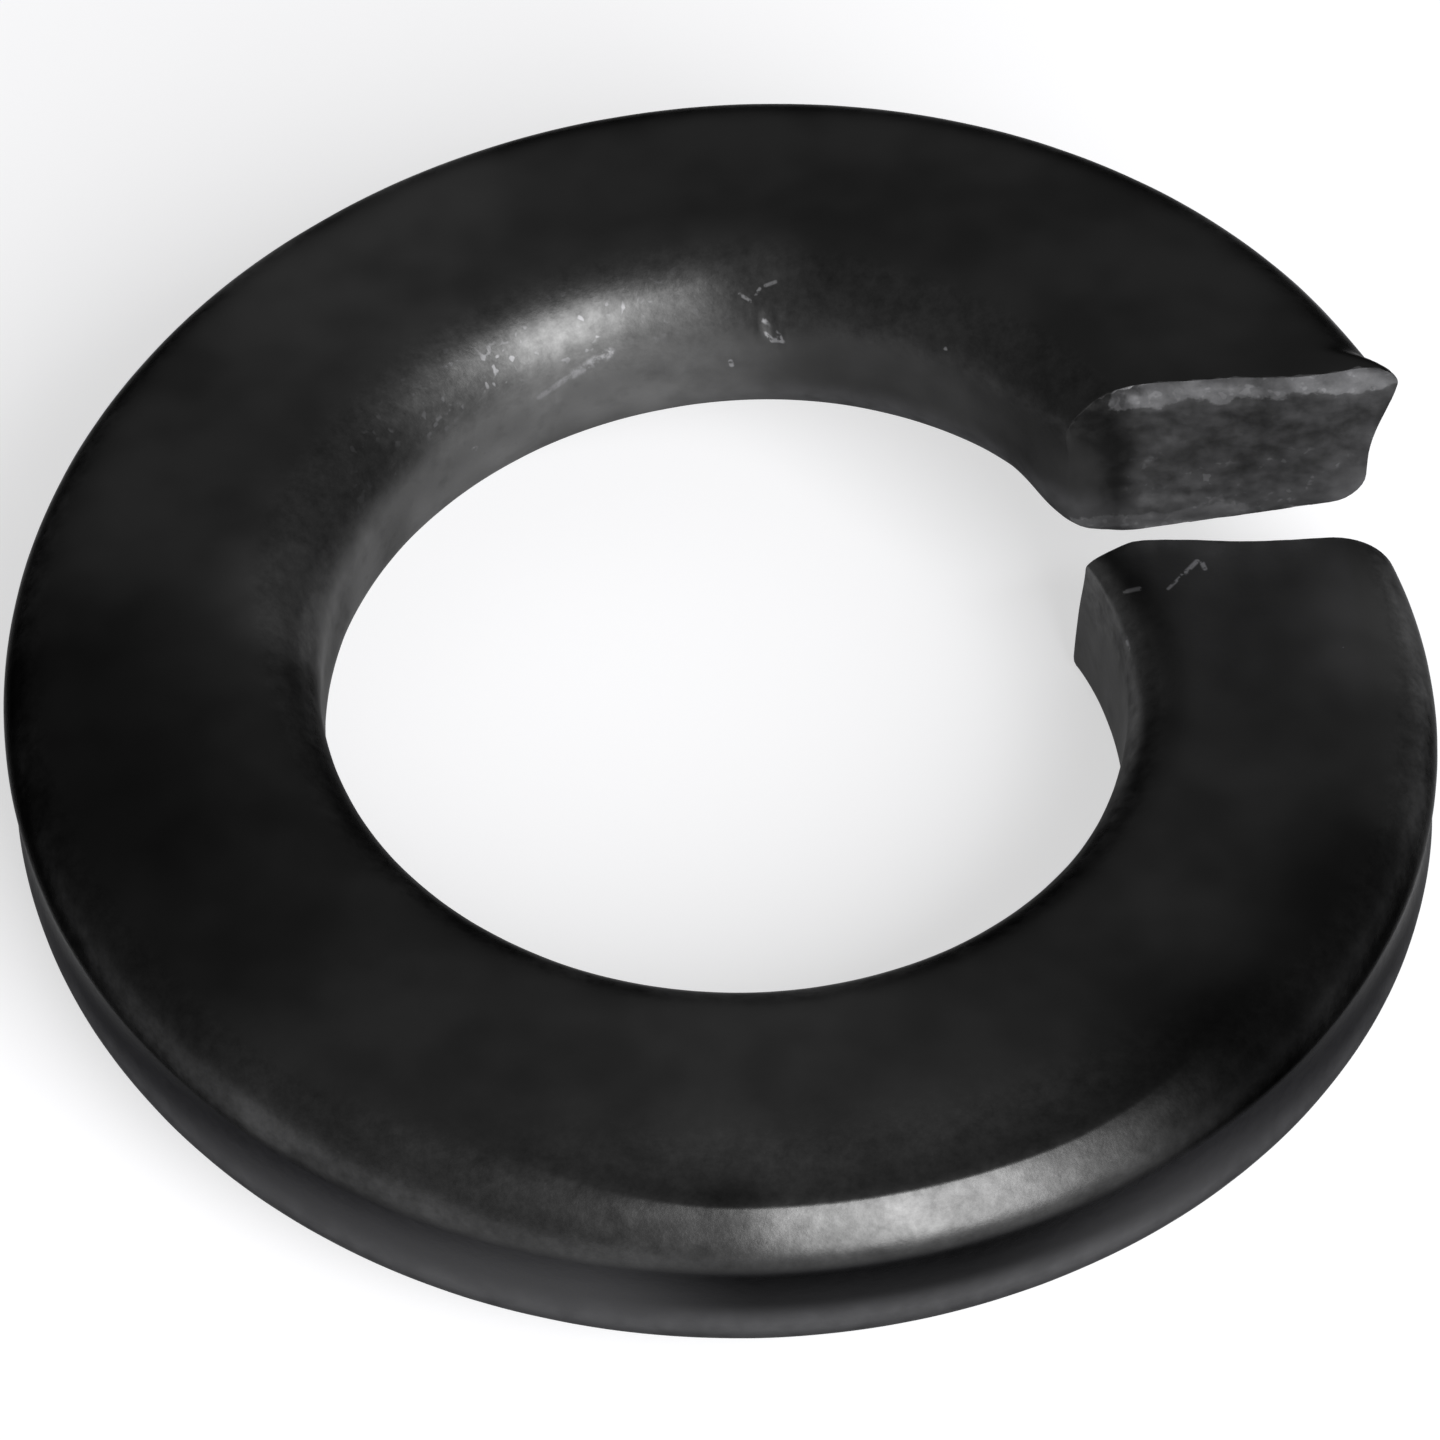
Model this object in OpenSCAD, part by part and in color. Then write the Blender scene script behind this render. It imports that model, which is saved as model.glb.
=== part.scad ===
// Split spring lock washer for an 8 mm bolt.
// One turn of soft-edged steel wire, coiled as a left-hand helix and sheared off,
// so that its two sprung ends bite when a right-hand thread is turned back.
// The hole's axis is Z, the low end rests on z = 0 and the split lies towards +X.

/* [Hole and wire] */
// Diameter of the hole that the bolt goes through
bore_d = 8.2; // [7.5:0.05:10]
// Width of the wire, from the hole to the rim
wire_w = 3.2; // [2.6:0.05:4]
// Thickness of the wire, along the bolt
wire_t = 2.1; // [1.9:0.05:2.8]

/* [Wire section] */
// Width of the soft shoulder along the hole, on top
inner_shoulder_w = 0.8; // [0.4:0.05:1.2]
// Depth of the soft shoulder along the hole
inner_shoulder_d = 0.85; // [0.4:0.05:1.2]
// Width of the soft shoulder along the rim, on top
outer_shoulder_w = 0.7; // [0.4:0.05:1.1]
// Depth of the soft shoulder along the rim
outer_shoulder_d = 0.8; // [0.4:0.05:1.2]
// Radius of the lower edge along the hole
inner_foot_r = 0.6; // [0.2:0.05:0.9]
// Radius of the lower edge along the rim
outer_foot_r = 0.4; // [0.15:0.05:0.7]
// Hollow that coiling draws into the outer wall
wall_dish = 0.05; // [0:0.01:0.12]

/* [Coil] */
// Rise of the wire over one whole turn, which sets the spring's travel
pitch = 2.15; // [0.5:0.05:4]

/* [Sheared ends] */
// Distance of the low end's cut from the line through the hole's centre that it runs along
cut_offset = 1.66; // [0.5:0.02:2.5]
// Clear width of the split, seen from above
cut_gap = 0.27; // [0.15:0.01:1.5]
// How far the foot of the raised end lies behind its upper edge, at the rim
cut_lean = 0.28; // [0:0.02:0.4]
// How far the low end's cut swings out beside the hole
cut_swing = 0.12; // [0:0.01:0.14]
// Depth of the soft shoulder along the hole at the low end's cut
low_shoulder_d = 0.2; // [0.1:0.05:0.9]
// Depth of the soft shoulder along the hole at the raised end's cut
raised_shoulder_d = 0.55; // [0.1:0.05:0.9]
// Width and depth of the outer shoulder that the shear leaves at the raised end
raised_corner = 0.28; // [0.1:0.02:0.7]
// How far the shear draws in the raised end's rim at its foot
rim_draw = 0.16; // [0:0.02:0.3]
// Length of wire over which the low end has changed its shoulder
low_reach = 3.5; // [1:0.1:5]
// Length of wire over which the raised end has changed its section
raised_reach = 1.8; // [1:0.1:4]

/* [Fineness] */
// Steps in one turn of the wire
turn_steps = 84; // [48:2:96]

/* [Hidden] */

bore_r = bore_d / 2;
rim_r = bore_r + wire_w;
mid_r = (bore_r + rim_r) / 2;
// The coiled wire reaches this far into the hole, which the bore then sizes
bore_stock = 0.03;
shoulder_steps = 7;
foot_steps = 4;
dish_steps = 4;
bore_facets = 180;
// Angle over which a slanted cut settles back into square stations
skew_fade = 40;
// Width of the stretch over which the low cut swings back to its line
swing_w = 1.3;
low_a = low_cut_a(mid_r);
high_a = high_cut_a(mid_r, wire_t / 2);
sweep_a = low_a - high_a;
// The first corner of the lower face that touches the ground
rest_a = low_cut_a(bore_r + inner_foot_r);

function ease(x) = x <= 0 ? 0 : x >= 1 ? 1 : x * x * (3 - 2 * x);
function mix(a, b, k) = a + (b - a) * k;

// Share of the wire's width at a radius, from 0 at the hole to 1 at the rim
function across(r) = (r - bore_r) / wire_w;

// Both cuts run along X, so the angle of a cut depends on the radius
function low_cut_a(r) =
    let (swing = cut_swing * (1 - ease((r - bore_r - inner_foot_r) / swing_w)))
    asin((cut_offset + swing) / r);
function high_cut_a(r, z) =
    let (lean = cut_lean * max(across(r), 0) * (1 - z / wire_t))
    asin((cut_offset + cut_gap + lean) / r) - 360;

// A quarter of an ellipse about [r, z] from angle a0, as [radius, height] points
function quarter(r, z, w, d, a0, steps) =
    [for (i = [0 : steps]) let (a = a0 + 90 * i / steps) [r + w * cos(a), z + d * sin(a)]];

// Outer wall between its foot and its shoulder, drawn in by the dish
function dished_wall(z0, z1) =
    [for (i = [1 : dish_steps - 1])
        let (k = i / dish_steps) [rim_r - wall_dish * sin(180 * k), mix(z0, z1, k)]];

// Section of the wire, counter-clockwise from the lower rim edge.
// low and raised, from 0 to 1, say how far each end has changed it.
function section(low, raised) =
    let (
        wall_r = bore_r - bore_stock,
        iw = inner_shoulder_w,
        id = mix(mix(inner_shoulder_d, low_shoulder_d, low), raised_shoulder_d, raised),
        ow = mix(outer_shoulder_w, raised_corner, raised),
        od = mix(outer_shoulder_d, raised_corner, raised),
        outline = concat(
            quarter(rim_r - outer_foot_r, outer_foot_r, outer_foot_r, outer_foot_r, -90, foot_steps),
            dished_wall(outer_foot_r, wire_t - od),
            quarter(rim_r - ow, wire_t - od, ow, od, 0, shoulder_steps),
            quarter(wall_r + iw, wire_t - id, iw, id, 90, shoulder_steps),
            quarter(wall_r + inner_foot_r, inner_foot_r, inner_foot_r, inner_foot_r, 180, foot_steps)
        )
    )
    [for (p = outline)
        let (draw = rim_draw * raised * ease(across(p[0])) * ease(1 - p[1] / wire_t))
        [p[0] - draw, p[1]]];

// Angle of a section point at one station, counted clockwise from the low end
function station_a(i, r, z) =
    let (
        from_low = sweep_a * i / turn_steps,
        from_high = sweep_a - from_low,
        low_skew = (low_cut_a(r) - low_a) * (1 - ease(from_low / skew_fade)),
        high_skew = (high_cut_a(r, z) - high_a) * (1 - ease(from_high / skew_fade))
    )
    low_a - from_low + low_skew + high_skew;

// How far an end has changed the section at a distance from it, in degrees of the coil
function near(from_end, reach) = 1 - ease(from_end * mid_r * PI / 180 / reach);

function station(i) =
    let (from_low = sweep_a * i / turn_steps)
    [for (p = section(near(from_low, low_reach), near(sweep_a - from_low, raised_reach)))
        let (a = station_a(i, p[0], p[1]))
        [p[0] * cos(a), p[0] * sin(a), p[1] + pitch * (rest_a - a) / 360]];

// Middle of a cut face, in the plane of its rim
function mid_point(ring) =
    [for (k = [0 : 2]) let (c = [for (p = ring) p[k]]) (min(c) + max(c)) / 2];

module coiled_wire() {
    rings = [for (i = [0 : turn_steps]) station(i)];
    n = len(rings[0]);
    points = concat(
        [for (ring = rings) each ring], [mid_point(rings[0]), mid_point(rings[turn_steps])]);
    low_mid = n * (turn_steps + 1);
    high_mid = low_mid + 1;
    skin = [for (i = [0 : turn_steps - 1], j = [0 : n - 1])
        let (a = i * n + j, b = i * n + (j + 1) % n)
        each [[a, b, b + n], [a, b + n, a + n]]];
    low_cut = [for (j = [0 : n - 1]) [low_mid, (j + 1) % n, j]];
    high_cut = [for (j = [0 : n - 1])
        [high_mid, turn_steps * n + j, turn_steps * n + (j + 1) % n]];
    polyhedron(points = points, faces = concat(skin, low_cut, high_cut), convexity = 6);
}

module lock_washer() {
    color("#2c2d2f")
    difference() {
        coiled_wire();
        translate([0, 0, -pitch])
            cylinder(d = bore_d, h = wire_t + 3 * pitch, $fn = bore_facets);
    }
}

lock_washer();
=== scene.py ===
import math

import bmesh
import bpy
from mathutils import Matrix, Vector, noise


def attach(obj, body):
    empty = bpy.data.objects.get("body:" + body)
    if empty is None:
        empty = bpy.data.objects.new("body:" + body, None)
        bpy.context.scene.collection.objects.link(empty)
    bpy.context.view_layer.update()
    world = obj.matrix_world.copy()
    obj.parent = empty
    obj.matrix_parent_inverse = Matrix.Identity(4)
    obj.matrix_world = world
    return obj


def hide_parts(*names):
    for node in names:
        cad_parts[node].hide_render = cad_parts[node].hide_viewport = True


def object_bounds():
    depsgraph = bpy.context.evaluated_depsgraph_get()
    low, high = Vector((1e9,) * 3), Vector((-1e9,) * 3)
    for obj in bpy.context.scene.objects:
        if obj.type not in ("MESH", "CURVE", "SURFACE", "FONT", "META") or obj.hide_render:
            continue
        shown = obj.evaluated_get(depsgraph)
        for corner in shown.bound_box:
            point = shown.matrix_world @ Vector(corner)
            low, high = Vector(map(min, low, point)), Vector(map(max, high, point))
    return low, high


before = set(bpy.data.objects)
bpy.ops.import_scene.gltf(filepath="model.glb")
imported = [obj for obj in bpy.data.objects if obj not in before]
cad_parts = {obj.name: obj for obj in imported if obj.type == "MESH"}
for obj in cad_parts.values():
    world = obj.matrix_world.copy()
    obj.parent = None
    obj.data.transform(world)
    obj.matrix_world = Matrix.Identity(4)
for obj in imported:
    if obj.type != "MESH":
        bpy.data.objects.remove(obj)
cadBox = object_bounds()
mm = 0.001
print("frame loaded")


def ease(x):                        # from 0 to 1, soft at both ends
    x = min(max(x, 0), 1)
    return x * x * (3 - 2 * x)


def within(x, span):                # 1 between the span's middle values, 0 outside its ends
    start, full, fading, gone = span
    return ease((x - start) / (full - start)) * (1 - ease((x - fading) / (gone - fading)))


def wrapObject(name, data):
    obj = bpy.data.objects.new(name, data)
    bpy.context.scene.collection.objects.link(obj)
    return obj


# camera at the photograph's angle, worked out from the washer's outline
cameraSet = {
    "distance": 62.17,      # mm, from the middle of the washer's foot
    "elevation": 49.553,    # degrees above the floor
    "pan": 0.043, "tilt": 0.985, "roll": 2.794,
    "lens": 148.4, "sensor": 36,
}


def placeCamera():
    rise = math.radians(cameraSet["elevation"])
    forward = Vector((0, math.cos(rise), -math.sin(rise)))
    right = Vector((1, 0, 0))
    up = right.cross(forward)
    eye = -forward * cameraSet["distance"] * mm
    turn = Matrix.Rotation(math.radians(cameraSet["pan"]), 3, up)
    right, forward = turn @ right, turn @ forward
    turn = Matrix.Rotation(math.radians(cameraSet["tilt"]), 3, right)
    forward, up = turn @ forward, turn @ up
    turn = Matrix.Rotation(math.radians(cameraSet["roll"]), 3, forward)
    right, up = turn @ right, turn @ up
    data = bpy.data.cameras.new("camera")
    data.sensor_width, data.lens = cameraSet["sensor"], cameraSet["lens"]
    data.clip_start, data.clip_end = 1 * mm, 5
    camera = wrapObject("camera", data)
    axes = Matrix((right, up, -forward)).transposed()
    camera.matrix_world = Matrix.Translation(eye) @ axes.to_4x4()
    bpy.context.scene.camera = camera


placeCamera()
print("camera placed")

# the coiled wire, in mm, as the frame has it; angles in degrees, falling along the wire
wire = {
    "hole": 4.08, "thick": 2.096, "pitch": 2.15,
    "rimSlack": 0.008,      # keeps the uneven skin inside the frame's box
    "outerShoulder": 0.75, "innerShoulder": 0.8, "outerFoot": 0.4, "innerFoot": 0.6,
    # the shoulder along the hole, at the back and at the front
    "farShoulder": 1.1, "farSpan": (-300, -270, -200, -165),
    "frontShoulder": 0.84, "frontAngle": -100, "frontReach": 70,
    # the rim's top is flattened at the front
    "nearShoulder": 0.36, "nearBevel": 0.6, "nearSpan": (-128, -90, -65, -30),
    "nearDrop": 0.2, "dropFrom": 1.5, "dropWidth": 1.1,
    "shoulderSteps": 14, "footSteps": 7,
    "cell": 0.08,           # spacing of the loops across flat stretches
    "dish": 0.05,           # hollow of the outer wall
    "startAngle": 27.0, "turn": 375.0, "coarseSteps": 75, "fineSteps": 10,
    "waviness": 0.003, "waveScale": 0.9, "ripple": 0.4, "rippleScale": 3,
}
wire["rim"] = (cadBox[1].x - cadBox[0].x) / 2 / mm - wire["rimSlack"]

# both sheared ends, in mm: the cuts run along X, the low one at lowY and the raised one at highY
shear = {
    "lowY": 1.66, "highY": 1.9, "cell": 0.055,
    "lowSide": -60, "raisedSide": -300,     # angles past which a point is counted to an end
    "lowTrim": -20, "raisedTrim": -320,     # and past which the shear cuts
    "crisp": 40,                    # sharper edges than this, in degrees, aren't shaded smooth
    # the low end: its shoulder, its foot and its wall along the hole, which opens upwards
    "lowReach": 4.2, "lowDepth": 0.22, "lowFoot": 0.35, "lowOpen": 0.1,
    "swing": 0.12, "swingWidth": 1.3,
    "tipBreak": 0.15, "tipWidth": 0.45, "tipFrom": 1,       # its upper corner is broken off
    # the raised end: its shoulder along the hole, and its rim's corner, which gets sharper
    "raisedReach": 1.8, "raisedDepth": 0.7,
    "lipReach": 0.5, "lipDepth": 0.25, "lipWidth": 0.45,
    "footLength": 0.9, "raisedFoot": 0.3,   # its foot along the hole gets sharper as well
    "footReach": 0.08,                      # and reaches further out
    "rimDraw": 0.25,                # its outer wall draws in, most at its foot
    "drawFade": (1.35, 1.9), "lipDrawFade": (1.5, 1.5),
    "lean": 0.27, "leanPower": 1.3,         # of the cut's foot, at the rim
    "edgeDip": 0.04, "dipPlace": 5.95, "dipTurn": 130,
    "edgeRise": 0.03, "risePlace": 6.3, "riseWidth": 0.4,
    # the raised cut turns smoothly into the wall of the hole
    "rollReach": 0.5, "roll": 0.07, "rollTop": 0.9, "rollFade": 0.9,
    "bendReach": 1.3,               # the uneven cuts fade into the wire over this length
    # band along the raised cut's upper edge
    "tornDepth": 0.05, "tornHeight": 0.38, "tornRise": 1.7, "tornStart": (4.02, 0.15),
    "tornWave": 0.1, "tornWaveScale": 2.6, "tornPits": 0.05, "tornPitScale": 9,
    # the shear has only pressed the face between darkEdge and the hole
    "darkEdge": 4.3, "darkFade": 0.3, "darkWave": 0.2, "darkWaveScale": 2.2,
    "burrTop": (0.12, 0.2), "burrEnd": (5.2, 0.8),      # the burr at the foot: its end and fade
    # roughness of both faces
    "relief": 0.009, "edgeRelief": 0.4,
    "coarseScale": 3.5, "softness": 0.7, "finer": 2.1, "layers": 5,
    "swell": 0.8, "swellScale": 1.6, "pitScale": 6, "pitFloor": 0.35, "pitDepth": 4,
}

# dents in the skin, with a raised lip: place on the washer in mm, width and depth
dentLip = {"height": 0.35, "place": 1.1, "width": 0.45}     # as shares of a dent's depth and width
dents = [
    {"place": (0.67, 4.07, 3.17), "width": 0.1, "depth": 0.035},
    {"place": (0.75, 4.04, 3.08), "width": 0.09, "depth": 0.035},
    {"place": (0.93, 3.99, 3.36), "width": 0.08, "depth": 0.018},
    {"place": (0.36, 4.09, 3.38), "width": 0.07, "depth": 0.018},
    {"place": (0.26, 4.09, 2.73), "width": 0.07, "depth": 0.015},
    {"place": (-1.61, 3.77, 2.62), "width": 0.07, "depth": 0.014},
    {"place": (2.49, 3.3, 3.58), "width": 0.06, "depth": 0.012},
]


def mixed(first, second, share):
    return first + (second - first) * share


def heightOf(angle):
    firstY = shear["lowY"] + shear["swing"]
    restAngle = math.degrees(math.asin(firstY / (wire["hole"] + wire["innerFoot"])))
    return wire["pitch"] * (restAngle - angle) / 360


def drawSection(bm):
    hole, rim, top = wire["hole"], wire["rim"], wire["thick"]
    corners = [((rim, 0, 0), "outerFoot", "footSteps"),
               ((rim, 0, top), "outerShoulder", "shoulderSteps"),
               ((hole, 0, top), "innerShoulder", "shoulderSteps"),
               ((hole, 0, 0), "innerFoot", "footSteps")]
    verts = [bm.verts.new(place) for place, radius, steps in corners]
    bm.faces.new(verts)
    for vert, (place, radius, steps) in zip(verts, corners):
        bmesh.ops.bevel(bm, geom=[vert], offset=wire[radius], offset_type="OFFSET",
                        segments=wire[steps], profile=0.5, affect="VERTICES", material=-1)
    for edge in [e for e in bm.edges if e.calc_length() > 1.5 * wire["cell"]]:
        cuts = round(edge.calc_length() / wire["cell"]) - 1
        bmesh.ops.subdivide_edges(bm, edges=[edge], cuts=cuts)
    bmesh.ops.delete(bm, geom=bm.faces[:], context="FACES_ONLY")


def coilWire(bm, turned):
    drawSection(bm)
    ring = len(bm.verts)
    start, steps = wire["startAngle"], wire["coarseSteps"]
    step = wire["turn"] / steps
    spun = Matrix.Rotation(math.radians(start), 3, "Z")
    bmesh.ops.rotate(bm, verts=bm.verts, cent=(0, 0, 0), matrix=spun)
    bmesh.ops.translate(bm, verts=bm.verts, vec=(0, 0, heightOf(start)))
    bmesh.ops.spin(bm, geom=bm.verts[:] + bm.edges[:], cent=(0, 0, 0), axis=(0, 0, -1),
                   dvec=(0, 0, wire["pitch"] * step / 360),
                   angle=math.radians(wire["turn"]), steps=steps)
    for index, vert in enumerate(bm.verts):
        vert[turned] = start - step * (index // ring)
    along = [e for e in bm.edges if abs(e.verts[0][turned] - e.verts[1][turned]) > step / 2]
    bmesh.ops.subdivide_edges(bm, edges=along, cuts=wire["fineSteps"] - 1)
    for vert in bm.verts:           # the finer stations move out from their chords onto the round
        offMiddle = (start - vert[turned]) % step - step / 2
        swell = math.cos(math.radians(offMiddle)) / math.cos(math.radians(step / 2))
        vert.co.x *= swell
        vert.co.y *= swell
    print("wire coiled:", len(bm.faces), "faces")


def fromEnds(vert, turned):         # distance of a point of the wire from each cut
    far = 99
    low = shear["lowY"] - vert.co.y if vert[turned] > shear["lowSide"] else far
    raised = vert.co.y - shear["highY"] if vert[turned] < shear["raisedSide"] else far
    return low, raised


def stretch(value, knots, moved):   # carries a value along as the knots round it are moved
    for a, b, c, d in zip(knots, knots[1:], moved, moved[1:]):
        if value <= b:
            return c + (d - c) * (value - a) / (b - a)
    return moved[-1] + value - knots[-1]


def shapeSection(bm, turned):
    hole, rim, top = wire["hole"], wire["rim"], wire["thick"]
    inner, outer = wire["innerShoulder"], wire["outerShoulder"]
    middle = (hole + rim) / 2
    for vert in bm.verts:
        radius, base = vert.co.xy.length, heightOf(vert[turned])
        height = vert.co.z - base
        lowDistance, raisedDistance = fromEnds(vert, turned)
        low = 1 - ease(lowDistance / shear["lowReach"])
        raised = 1 - ease(raisedDistance / shear["raisedReach"])
        lip = 1 - ease(raisedDistance / shear["lipReach"])
        near = within(vert[turned], wire["nearSpan"])
        far = within(vert[turned], wire["farSpan"])
        newRadius, newHeight = radius, height
        if radius < middle:
            front = 1 - ease(abs(vert[turned] - wire["frontAngle"]) / wire["frontReach"])
            wide = mixed(mixed(inner, wire["farShoulder"], far), wire["frontShoulder"], front)
            depth = mixed(mixed(wide, shear["lowDepth"], low), shear["raisedDepth"], raised)
            sharp = 1 - ease(raisedDistance / shear["footLength"])
            foot = mixed(wire["innerFoot"], shear["lowFoot"], low)
            foot = mixed(foot, shear["raisedFoot"], sharp)
            newHeight = stretch(height, (0, wire["innerFoot"], top - inner, top),
                                (0, foot, top - depth, top))
            if height < top / 2:
                newRadius = stretch(radius, (hole, hole + wire["innerFoot"], middle),
                                    (hole, hole + foot, middle))
            else:
                newRadius = stretch(radius, (hole, hole + inner, middle),
                                    (hole, hole + wide, middle))
            beside = max(1 - (radius - hole) / inner, 0)
            newRadius += low * shear["lowOpen"] * ease(newHeight / top) * beside
        else:
            corner = mixed(outer, shear["lipDepth"], lip)
            newHeight = stretch(height, (0, wire["outerFoot"], top - outer, top),
                                (0, wire["outerFoot"], top - corner, top))
            if height > top / 2:
                width = mixed(mixed(outer, shear["lipWidth"], lip), wire["nearShoulder"], near)
                over = max(radius - rim + outer, 0) / outer
                along = math.asin(min(over, 1)) / (math.pi / 2)
                bevelled = near * wire["nearBevel"] * (1 - along ** 3)
                newRadius = stretch(radius, (middle, rim - outer, rim), (middle, rim - width, rim))
                newRadius += bevelled * width * (along - over)
                if over > 0:
                    newHeight += bevelled * (top - outer * along - newHeight)
                slope = ease((newRadius - rim + wire["dropFrom"]) / wire["dropWidth"])
                slope *= max(newHeight - top + outer, 0) / outer
                newHeight -= near * wire["nearDrop"] * slope
            share = (radius - middle) / (rim - middle)
            drawn, drawnAtLip = (ease(full - fade * newHeight / top)
                                 for full, fade in (shear["drawFade"], shear["lipDrawFade"]))
            newRadius -= raised * shear["rimDraw"] * share * mixed(drawn, drawnAtLip, lip)
        if radius > rim - 1e-4:
            rounded = (height - wire["outerFoot"]) / (top - outer - wire["outerFoot"])
            newRadius -= wire["dish"] * (1 - raised) * math.sin(math.pi * min(max(rounded, 0), 1))
        scale = newRadius / radius
        vert.co = (vert.co.x * scale, vert.co.y * scale, base + newHeight)


def cornersOf(faces):               # each once, in the faces' order
    return list(dict.fromkeys(v for f in faces for v in f.verts))


def geometryOf(faces):
    return cornersOf(faces) + list(dict.fromkeys(e for f in faces for e in f.edges)) + faces


def endFaces(bm, turned, low):
    near = {v for v in bm.verts
            if (v[turned] > shear["lowTrim"] if low else v[turned] < shear["raisedTrim"])}
    return [f for f in bm.faces if near.issuperset(f.verts)]


def growCap(seed, normal):          # the flat faces that hang together with a first one
    cap, seen = [seed], {seed}
    for face in cap:
        for edge in face.edges:
            for other in edge.link_faces:
                if other not in seen and abs(other.normal.dot(normal)) > 0.9999:
                    seen.add(other)
                    cap.append(other)
    return cap


def gridCap(bm, face):              # cuts a flat cap into small cells
    normal = face.normal.copy()
    lo = [min(v.co[i] for v in face.verts) for i in range(3)]
    hi = [max(v.co[i] for v in face.verts) for i in range(3)]
    cap = [face]
    for axis, direction in ((0, (1, 0, 0)), (2, (0, 0, 1))):
        count = round((hi[axis] - lo[axis]) / shear["cell"])
        for k in range(1, count):
            place = [0, 0, 0]
            place[axis] = mixed(lo[axis], hi[axis], k / count)
            bmesh.ops.bisect_plane(bm, geom=geometryOf(cap), dist=1e-4,
                                   plane_co=place, plane_no=direction)
            cap = growCap(face, normal)
    return cap


def shearEnds(bm, turned):
    caps = []
    for low, y, outward in ((True, shear["lowY"], 1), (False, shear["highY"], -1)):
        bmesh.ops.bisect_plane(bm, geom=geometryOf(endFaces(bm, turned, low)), dist=1e-5,
                               plane_co=(0, y, 0), plane_no=(0, outward, 0), clear_outer=True)
        around = [e for e in bm.edges
                  if e.is_boundary and all(abs(v.co.y - y) < 1e-4 for v in e.verts)]
        face = bmesh.ops.edgeloop_fill(bm, edges=around)["faces"][0]
        face.normal_update()
        cap = gridCap(bm, face)
        caps.append(cornersOf(cap))
        print("end sheared:", len(cap), "faces")
    return caps


def tornBand(place, height):        # rises from 0 to 1 under the raised cut's upper edge
    wave = noise.noise(Vector((place.x * shear["tornWaveScale"], 7, 0)))
    ragged = shear["tornWave"] * wave
    ragged += shear["tornPits"] * noise.noise(place * shear["tornPitScale"])
    above = height - wire["thick"] + shear["tornHeight"] + ragged
    return min(max(above / shear["tornHeight"], 0), 1)


def cutBend(low, place, height):    # how far a cut stands off its plane at a place, along Y
    radius = place.xy.length
    if low:
        firstRadius = wire["hole"] + wire["innerFoot"]
        broken = max(1 - (radius - wire["hole"] - shear["lowOpen"]) / shear["tipWidth"], 0)
        broken *= shear["tipBreak"] * ease(height - shear["tipFrom"])
        return shear["swing"] * (1 - ease((radius - firstRadius) / shear["swingWidth"])) - broken
    across = max(radius - wire["hole"], 0) / (wire["rim"] - wire["hole"])
    above = height / wire["thick"]
    dip = max(math.cos(math.radians(shear["dipTurn"] * (place.x - shear["dipPlace"]))), 0) ** 2
    edge = shear["edgeRise"] * ease((place.x - shear["risePlace"]) / shear["riseWidth"])
    edge -= shear["edgeDip"] * dip
    lean = shear["lean"] * across ** shear["leanPower"] - shear["footReach"] * (1 - across) ** 2
    torn = shear["tornDepth"] * ease(tornBand(place, height))
    return lean * (1 - above) + edge * above + torn


def holeSide(height):               # radius of the raised end's section along the hole
    foot, depth = shear["raisedFoot"], shear["raisedDepth"]
    if height < foot:
        return wire["hole"] + foot - math.sqrt(max(foot ** 2 - (foot - height) ** 2, 0))
    if height > wire["thick"] - depth:
        share = min((height - wire["thick"] + depth) / depth, 1)
        return wire["hole"] + wire["innerShoulder"] * (1 - math.sqrt(1 - share ** 2))
    return wire["hole"]


def bendEnds(bm, turned, caps):
    roll = shear["rollReach"]
    for vert in bm.verts:
        low, raised = fromEnds(vert, turned)
        height = vert.co.z - heightOf(vert[turned])
        fade = 1 - ease(min(low, raised) / shear["bendReach"])
        if fade > 0:
            bend = fade * cutBend(low < raised, vert.co, height)
            outward = vert.co.xy.normalized()
            depth = max(vert.co.xy.length - holeSide(height), 0)
            if raised < roll and depth < roll:
                pull = shear["roll"] * (1 - raised / roll) ** 2 * (1 - depth / roll) ** 2
                pull *= 1 - ease((height - shear["rollTop"]) / shear["rollFade"])
                vert.co.x += pull * outward.x
                vert.co.y += pull * (1 + outward.y)
            vert.co.y += bend
    for back, cap in zip((-1, 1), caps):
        for vert in cap:
            onEdge = any(e.calc_face_angle(0) > 0.5 for e in vert.link_edges)
            rough = noise.fractal(vert.co * shear["coarseScale"], shear["softness"],
                                  shear["finer"], shear["layers"])
            rough += shear["swell"] * noise.noise(vert.co * shear["swellScale"])
            pits = noise.noise(vert.co * shear["pitScale"] + Vector((5, 0, 0)))
            rough += max(pits - shear["pitFloor"], 0) * shear["pitDepth"]
            vert.co.y += back * shear["relief"] * rough * (shear["edgeRelief"] if onEdge else 1)


def dentSkin(bm):
    bm.normal_update()
    for vert in bm.verts:
        wave = noise.noise(vert.co * wire["waveScale"])
        wave += wire["ripple"] * noise.noise(vert.co * wire["rippleScale"])
        vert.co += vert.normal * (wave - 1) * wire["waviness"]
        for dent in dents:
            share = (vert.co - Vector(dent["place"])).length / dent["width"]
            if share < dentLip["place"] + dentLip["width"]:
                lip = max(1 - abs(share - dentLip["place"]) / dentLip["width"], 0)
                hollow = max(1 - share * share, 0) - dentLip["height"] * lip
                vert.co -= vert.normal * dent["depth"] * hollow


def tornShare(place, height):       # of the torn band and of the burr, on the raised cut
    (top, topFade), (end, endFade) = shear["burrTop"], shear["burrEnd"]
    start, startFade = shear["tornStart"]
    burr = (1 - ease((height - top) / topFade)) * (1 - ease((place.x - end) / endFade))
    band = ease(shear["tornRise"] * tornBand(place, height)) * ease((place.x - start) / startFade)
    return max(band, burr)


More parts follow.
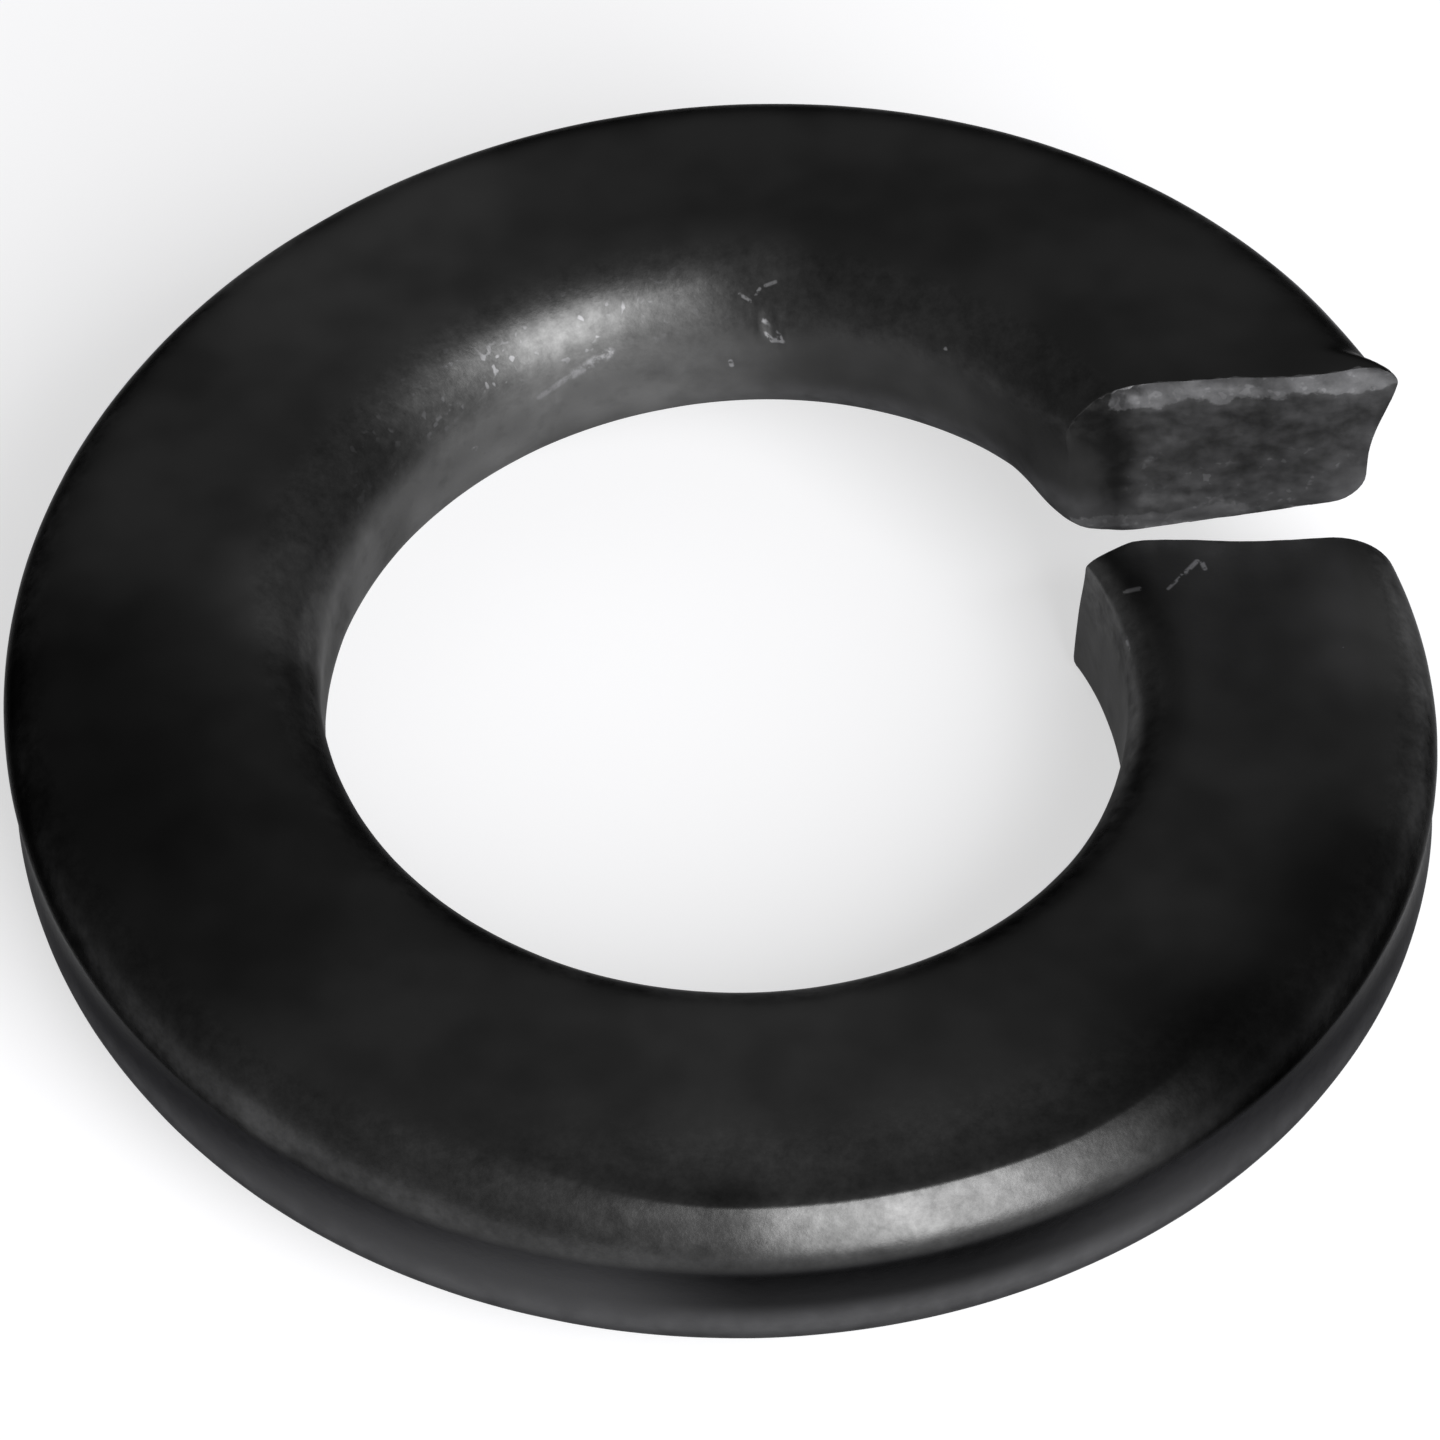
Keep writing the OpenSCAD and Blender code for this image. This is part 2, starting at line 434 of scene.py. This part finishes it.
def markCuts(lowCap, raisedCap, turned, sheared, torn):     # where the cuts are bare and torn
    for vert in lowCap:
        vert[sheared] = 1
    for vert in raisedCap:
        height = vert.co.z - heightOf(vert[turned])
        ragged = shear["darkWave"] * noise.noise(Vector((3, 0, shear["darkWaveScale"] * height)))
        outside = vert.co.x - shear["darkEdge"] - ragged
        vert[sheared] = ease(outside / shear["darkFade"] + 0.5)
        vert[torn] = tornShare(vert.co, height)


def buildWasher():
    bm = bmesh.new()
    turned = bm.verts.layers.float.new("turned")
    sheared = bm.verts.layers.float.new("sheared")
    torn = bm.verts.layers.float.new("torn")
    wirePlace = bm.verts.layers.float_vector.new("wirePlace")
    coilWire(bm, turned)
    shapeSection(bm, turned)
    middle = (wire["hole"] + wire["rim"]) / 2
    for vert in bm.verts:           # along the wire, across it and up it
        vert[wirePlace] = (math.radians(-vert[turned]) * middle, vert.co.xy.length,
                           vert.co.z - heightOf(vert[turned]))
    caps = shearEnds(bm, turned)
    markCuts(*caps, turned, sheared, torn)
    bendEnds(bm, turned, caps)
    bmesh.ops.remove_doubles(bm, verts=bm.verts, dist=1e-5)
    bmesh.ops.recalc_face_normals(bm, faces=bm.faces)
    dentSkin(bm)
    lift = max(cadBox[0].z / mm - min(v.co.z for v in bm.verts), 0)
    bmesh.ops.translate(bm, verts=bm.verts, vec=(0, 0, lift))
    bmesh.ops.scale(bm, verts=bm.verts, vec=(mm, mm, mm))
    for face in bm.faces:
        face.smooth = True
    for edge in bm.edges:           # crisp round the cuts, but not where the raised one is pressed
        vert = edge.verts[0]
        pressed = vert.co.x < shear["darkEdge"] * mm and vert[turned] < shear["raisedSide"]
        edge.smooth = pressed or edge.calc_face_angle(0) < math.radians(shear["crisp"])
    mesh = bpy.data.meshes.new("springLockWasher")
    bm.to_mesh(mesh)
    bm.free()
    mesh.materials.append(blackOxide())
    print("washer built:", len(mesh.polygons), "faces, lifted", round(lift, 4), "mm")
    return wrapObject("springLockWasher", mesh)


# shader maths written as expressions
class Value:
    def __init__(self, finish, socket):
        self.finish, self.socket = finish, socket

    def maths(self, operation, *terms):
        return self.finish.node("ShaderNodeMath", {"operation": operation}, dict(enumerate(terms)))

    def __add__(self, other):
        return self.maths("ADD", self, other)

    def __sub__(self, other):
        return self.maths("SUBTRACT", self, other)

    def __rsub__(self, other):
        return self.maths("SUBTRACT", other, self)

    def __mul__(self, other):
        return self.maths("MULTIPLY", self, other)

    __radd__, __rmul__ = __add__, __mul__

    def rise(self, low, high, below=0, above=1):    # eased between low and high
        return self.finish.node("ShaderNodeMapRange", {"interpolation_type": "SMOOTHSTEP"},
                                {"Value": self, "From Min": low, "From Max": high,
                                 "To Min": below, "To Max": above})

    def fall(self, low, high):
        return self.rise(low, high, 1, 0)


class Finish:
    def __init__(self, name):
        self.material = bpy.data.materials.new(name)
        self.material.use_nodes = True
        self.tree = self.material.node_tree
        self.skin = self.tree.nodes["Principled BSDF"]

    def plug(self, socket, value):
        if isinstance(value, Value):
            self.tree.links.new(value.socket, socket)
        else:
            socket.default_value = value

    def node(self, kind, settings, sockets, out=0):
        made = self.tree.nodes.new(kind)
        for name, value in settings.items():
            setattr(made, name, value)
        for name, value in sockets.items():
            self.plug(made.inputs[name], value)
        return Value(self, made.outputs[out])

    def grey(self, level):          # leans a little to blue
        return (level, level, level * 1.03, 1)

    def mix(self, factor, first, second):
        return self.node("ShaderNodeMix", {"data_type": "RGBA"},
                         {0: factor, 6: first, 7: second}, 2)

    def noise(self, place, scale, detail, rough):
        return self.node("ShaderNodeTexNoise", {}, {"Vector": place, "Scale": scale,
                                                    "Detail": detail, "Roughness": rough})

    def vector(self, operation, first, second, out=0):
        return self.node("ShaderNodeVectorMath", {"operation": operation},
                         {0: first, 1: second}, out)

    def strokes(self, place, marks):        # 1 on short straight marks, 0 elsewhere
        covered = 0
        for start, end, width in marks:
            run = Vector(end) - Vector(start)
            offset = self.vector("SUBTRACT", place, start)
            share = self.vector("DOT_PRODUCT", offset, run / run.length_squared, 1)
            share = self.node("ShaderNodeClamp", {}, {"Value": share})
            nearest = self.node("ShaderNodeVectorMath", {"operation": "SCALE"},
                                {0: run, "Scale": share})
            distance = self.vector("DISTANCE", offset, nearest, 1)
            covered = distance.fall(0.5 * width, 1.5 * width) + covered
        return covered.maths("MINIMUM", covered, 1)


# greys of the finish in each zone, and its gloss
oxide = {
    # the foot's grey is rubbing, made lighter also by a painted reflection of the bright floor
    # the grey along the hole's wall is a painted sheen, lighter where the softbox lights that wall
    # the grey named thick is painted shade: a dark band on the outer wall under the near rim's
    # highlight
    "dark": 0.05, "rubbedFootAndSheen": 0.085, "paintedBoreSheen": 0.13, "wall": 0.058, "thick": 0.02,
    "sheared": 0.15, "torn": 0.21, "bare": 0.26, "edge": 0.3, "flecks": 0.1, "streak": 0.2,
    "tint": 0.3,                            # of reflections at a flat angle
    "roughness": 0.36, "wallRoughness": 0.12, "shearedRoughness": 0.16, "grainRoughness": 0.14,
    "bump": 0.25, "bumpDepth": 0.01,
    # how far clouds, and tears on the shoulders, vary the oxide; a patch is even in its core
    "cloudShade": (0.8, 1.2), "shoulderTears": 1.1, "patchCore": 0.25,
    # how strong each zone's lighter grey is, all over, with the grain and with the blotches:
    # rubbing on the cuts, rubbing with painted reflection at the foot, painted sheen on the hole's
    # wall
    "footRubAndSheen": (0.25, 0.6, 0.9), "boreSheenMottle": (0.5, 0.6, 0.4), "shearedRub": (0.3, 0.5, 0.5),
    "shearedDull": 0.47,                    # less so upwards on the cuts
    "tornRub": (0.1, 0.9, 0.4),             # all over, with the tears and with the specks
    "tornEdge": (1.1, 0.7),                 # how far tears and blotches break up the torn edge
    "shearedSpecks": 0.6,                   # how bright the specks low on the cuts are
}

# uneven textures: how fine, how many layers and how rough
textures = {
    "clouds": (0.7, 2, 0.6), "blotch": (2.6, 2, 0.6), "grain": (7, 3, 0.7), "tears": (6, 3, 0.75),
    "specks": (10, 1, 0.5),
}

# where a finish sets in or fades out, in mm along the wire, across it from the hole's axis,
# and up from its foot
zones = {
    "wallAcross": (6.9, 7.15), "wallTop": (1.2, 1.4),
    "footTop": (0.3, 0.75), "footAtRim": (6.5, 6.9), "footAtHole": (4.5, 4.9),
    # where the painted sheen on the hole's wall lies
    "boreAcross": (4.15, 4.4), "boreTop": (1.1, 1.5), "boreStart": (1.5, 4),
    "boreFar": (14, 18), "boreEnd": (25.5, 29),
    # the painted band of shade under the near rim's highlight
    "bandFoot": (0.45, 0.8), "bandStart": (5, 7.4), "bandEnd": (8.8, 10.3),
    "shoulderFoot": (1.2, 1.5), "shoulderTop": (1.98, 2.08),
    "fleckTop": (1.95, 2.08), "fleckAcross": (4.4, 4.8),
    "fleckStart": (20, 23), "fleckEnd": (25, 28),
    "dullUp": (0.2, 0.9), "speckUp": (0.2, 1.5),
    # the strip along the far rim that is painted lighter for its highlight
    "edgeFoot": (1.4, 1.5), "edgeTop": (1.75, 1.9), "edgeAcross": (6.95, 7.1),
    "edgeStart": (28.5, 31), "edgeEnd": (33.2, 33.6),
    "roughWall": (4.12, 4.3),
}

# painted highlights and shade, lighter where the softbox lights the washer and darker where the
# studio is dark: place in mm, reach, and how much lighter or darker
shadeAndHighlightPatches = [
    {"place": (-3.4, 5.2, 3.4), "reach": 3.0, "tone": 1.5},
    {"place": (0.2, -4.9, 2.7), "reach": 2.8, "tone": 1.45},
    {"place": (-6.9, -1.2, 3.2), "reach": 3.2, "tone": 0.35},
    {"place": (-5.4, -3.4, 3.0), "reach": 2.6, "tone": 0.5},
    {"place": (6.3, -3.5, 2.2), "reach": 2.0, "tone": 0.4},
    {"place": (4.9, -5.4, 2.1), "reach": 2.1, "tone": 0.3},
    {"place": (7.2, 0.3, 1.9), "reach": 1.6, "tone": 2.0},
    {"place": (-3.35, 2.65, 3.05), "reach": 0.6, "tone": 0.8},
    {"place": (-4.3, 0.6, 3.0), "reach": 1.1, "tone": 2.2},
    {"place": (-2.3, 3.5, 2.95), "reach": 0.8, "tone": 0.75},
    {"place": (0.4, 4.28, 3.45), "reach": 1.1, "tone": 1.6},
    {"place": (-0.15, -6.9, 2.5), "reach": 0.5, "tone": 0.6},
    {"place": (5.1, -5.0, 2.1), "reach": 1.0, "tone": 0.6},
]

# bare spots and scratches on the low end and round the hole: both ends in mm, and the width
scratches = [
    ((4.20, 1.11, 2.04), (4.35, 1.10, 2.09), 0.028),
    ((4.64, 1.03, 2.14), (4.81, 1.22, 2.15), 0.02),
    ((4.81, 1.22, 2.15), (4.97, 1.41, 2.14), 0.026),
    ((5.02, 1.38, 2.14), (5.04, 1.29, 2.15), 0.024),
    ((4.17, 0.56, 1.96), (4.20, 0.37, 1.96), 0.02),
    ((6.30, 0.04, 2.22), (6.33, 0.04, 2.22), 0.014),
    ((0.62, 4.12, 3.25), (0.73, 4.04, 3.14), 0.026),
    ((0.73, 4.04, 3.14), (0.81, 4.03, 3.04), 0.03),
    ((0.81, 4.03, 3.04), (0.70, 4.05, 3.03), 0.024),
    ((0.70, 4.05, 3.03), (0.62, 4.06, 3.14), 0.02),
    ((0.38, 4.31, 3.47), (0.50, 4.25, 3.42), 0.018),
    ((0.50, 4.25, 3.42), (0.59, 4.31, 3.54), 0.016),
    ((0.65, 4.32, 3.57), (0.76, 4.33, 3.61), 0.018),
    ((0.25, 4.08, 2.71), (0.26, 4.08, 2.66), 0.024),
    ((-2.49, 3.24, 2.45), (-2.48, 3.24, 2.44), 0.03),
    ((2.48, 3.30, 3.53), (2.49, 3.30, 3.53), 0.02),
]

# wider lighter spots on the raised end's cut, and a lighter streak along the hole's wall just
# under its highlight
streaks = [
    ((4.31, 1.94, 3.18), (4.33, 1.94, 3.18), 0.04),
    ((4.50, 1.94, 3.17), (4.52, 1.94, 3.19), 0.05),
    ((-1.78, 3.69, 2.72), (-1.40, 3.87, 2.86), 0.035),
    ((-1.40, 3.87, 2.86), (-1.02, 4.01, 2.99), 0.055),
]


def blackOxide():
    f = Finish("blackOxide")
    objectPlace = f.node("ShaderNodeTexCoord", {}, {}, "Object")
    place = f.node("ShaderNodeVectorMath", {"operation": "SCALE"},
                   {0: objectPlace, "Scale": 1 / mm})
    wirePlace, sheared, torn = (
        f.node("ShaderNodeAttribute", {"attribute_name": name}, {}, out)
        for name, out in (("wirePlace", "Vector"), ("sheared", "Fac"), ("torn", "Fac")))
    along, across, up = (f.node("ShaderNodeSeparateXYZ", {}, {0: wirePlace}, axis)
                         for axis in range(3))
    clouds, blotch, grain, tears, specks = (
        f.noise(place, *textures[name])
        for name in ("clouds", "blotch", "grain", "tears", "specks"))
    blotch, specks = blotch.rise(0.25, 0.75), specks.rise(0.6, 0.68)

    # how strong a zone's rubbing and painted sheen are: all over, with the grain and with the
    # blotches
    def rubAndSheen(name):
        allOver, byGrain, byBlotch = oxide[name]
        return allOver + byGrain * grain + byBlotch * blotch

    def paint(color, share, name):
        return f.mix(share, color, f.grey(oxide[name]))

    at = zones
    wall = across.rise(*at["wallAcross"]) * up.fall(*at["wallTop"])
    foot = across.rise(*at["footAtRim"]) + across.fall(*at["footAtHole"])
    foot = foot * up.fall(*at["footTop"])
    # painted sheen on the hole's wall: over its whole height at the low end, and low on it at the
    # back left, where the softbox lights it
    pastLow = along.rise(*at["boreStart"])
    boreSheenMask = across.fall(*at["boreAcross"]) * (1 - up.rise(*at["boreTop"]) * pastLow)
    boreSheenMask = boreSheenMask * (1 - pastLow * along.fall(*at["boreFar"])) * along.fall(*at["boreEnd"])
    # painted shade: a dark band on the outer wall, under the near rim's highlight
    band = up.rise(*at["bandFoot"]) * along.rise(*at["bandStart"]) * along.fall(*at["bandEnd"])
    shade = clouds.rise(0.3, 0.7, *oxide["cloudShade"])
    shoulder = up.rise(*at["shoulderFoot"]) * up.fall(*at["shoulderTop"]) * (1 - sheared)
    shade = shade * (1 + oxide["shoulderTears"] * shoulder * (tears - 0.5))
    # each patch paints a highlight into the oxide's grey, and a shade where its tone is below 1
    for patch in shadeAndHighlightPatches:
        reach = patch["reach"]
        distance = f.vector("DISTANCE", place, patch["place"], 1)
        shade = shade * distance.rise(oxide["patchCore"] * reach, reach, patch["tone"], 1)
    color = paint(oxide["dark"] * shade, wall, "wall")
    # paints that band of shade into the outer wall's grey
    color = paint(color, wall * band, "thick")
    # the foot, along the rim and the hole, is lighter: rubbing, and a painted reflection of the
    # floor
    color = paint(color, foot * rubAndSheen("footRubAndSheen"), "rubbedFootAndSheen")
    # paints that sheen into the hole's wall
    color = f.mix(boreSheenMask * rubAndSheen("boreSheenMottle"), color, oxide["paintedBoreSheen"] * shade)
    flecks = up.rise(*at["shoulderFoot"]) * up.fall(*at["fleckTop"])
    flecks = flecks * across.fall(*at["fleckAcross"])
    flecks = flecks * along.rise(*at["fleckStart"]) * along.fall(*at["fleckEnd"])
    color = paint(color, flecks * specks * blotch.rise(0.35, 0.7), "flecks")
    color = paint(color, f.strokes(place, streaks) * tears.rise(0.35, 0.65), "streak")
    cut = rubAndSheen("shearedRub") - oxide["shearedDull"] * up.rise(*at["dullUp"])
    color = paint(color, sheared * cut, "sheared")
    byTears, byBlotch = oxide["tornEdge"]
    ragged = (torn + byTears * (tears - 0.5) + byBlotch * (blotch - 0.5)).rise(0.3, 0.6)
    allOver, byTears, bySpecks = oxide["tornRub"]
    ragged = ragged * torn.rise(0, 0.2) * (allOver + byTears * tears + bySpecks * specks)
    color = paint(color, ragged, "torn")
    # a lighter strip along the far rim by the raised cut: partly a bare edge, partly a painted
    # highlight
    edge = up.rise(*at["edgeFoot"]) * up.fall(*at["edgeTop"]) * across.rise(*at["edgeAcross"])
    edge = edge * along.rise(*at["edgeStart"]) * along.fall(*at["edgeEnd"])
    color = paint(color, edge * grain.rise(0.2, 0.6), "edge")
    bare = f.strokes(place, scratches) * grain.rise(0.42, 0.55)
    spots = sheared * specks * blotch.rise(0.5, 0.8) * up.fall(*at["speckUp"])
    color = paint(color, bare + oxide["shearedSpecks"] * spots, "bare")
    f.plug(f.skin.inputs["Base Color"], color)
    f.skin.inputs["Metallic"].default_value = 1
    f.skin.inputs["Specular Tint"].default_value = (oxide["tint"],) * 3 + (1,)
    rough = oxide["roughness"] + oxide["wallRoughness"] * (foot + across.fall(*at["roughWall"]))
    rough = rough + oxide["shearedRoughness"] * sheared + oxide["grainRoughness"] * (grain - 0.5)
    f.plug(f.skin.inputs["Roughness"], rough)
    bump = f.node("ShaderNodeBump", {}, {"Height": grain, "Strength": oxide["bump"],
                                         "Distance": oxide["bumpDepth"] * mm})
    f.plug(f.skin.inputs["Normal"], bump)
    return f.material


washer = buildWasher()
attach(washer, "root")
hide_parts("lock_washer")

# a pale studio floor, one softbox and an even sky
studio = {
    "floorRadius": 0.6, "floorTone": 0.5, "floorGlow": 0.57, "world": 0.27,
    "key": {"azimuth": 27.5, "elevation": 26, "width": 80, "height": 145, "radiance": 12.2},
    "lampDistance": 150,
}


def layFloor():
    bm = bmesh.new()
    bmesh.ops.create_circle(bm, cap_ends=True, segments=64, radius=studio["floorRadius"])
    mesh = bpy.data.meshes.new("floor")
    bm.to_mesh(mesh)
    bm.free()
    f = Finish("paleFloor")
    f.skin.inputs["Base Color"].default_value = f.grey(studio["floorTone"])
    f.skin.inputs["Roughness"].default_value = 0.9
    f.skin.inputs["Specular IOR Level"].default_value = 0
    f.skin.inputs["Emission Color"].default_value = (1, 1, 1, 1)
    seen, mirrored, passed = (
        f.node("ShaderNodeLightPath", {}, {}, ray)
        for ray in ("Is Camera Ray", "Is Glossy Ray", "Is Transmission Ray"))
    f.plug(f.skin.inputs["Emission Strength"], studio["floorGlow"] * (seen + mirrored + passed))
    mesh.materials.append(f.material)
    wrapObject("floor", mesh)


def hangLamp(name, lamp):
    data = bpy.data.lights.new(name, "AREA")
    data.shape = "RECTANGLE"
    data.size, data.size_y = lamp["width"] * mm, lamp["height"] * mm
    data.energy = lamp["radiance"] * data.size * data.size_y * math.pi
    hung = wrapObject(name, data)
    turn, rise = math.radians(lamp["azimuth"]), math.radians(lamp["elevation"])
    out = Vector((math.sin(turn) * math.cos(rise), -math.cos(turn) * math.cos(rise),
                  math.sin(rise)))
    hung.location = out * studio["lampDistance"] * mm
    hung.rotation_euler = out.to_track_quat("Z", "Y").to_euler()


layFloor()
hangLamp("keySoftbox", studio["key"])
world = bpy.data.worlds.new("studio")
world.use_nodes = True
world.node_tree.nodes["Background"].inputs["Color"].default_value = (studio["world"],) * 3 + (1,)
bpy.context.scene.world = world
bpy.context.scene.view_settings.view_transform = "Standard"
print("floor and lamp set")
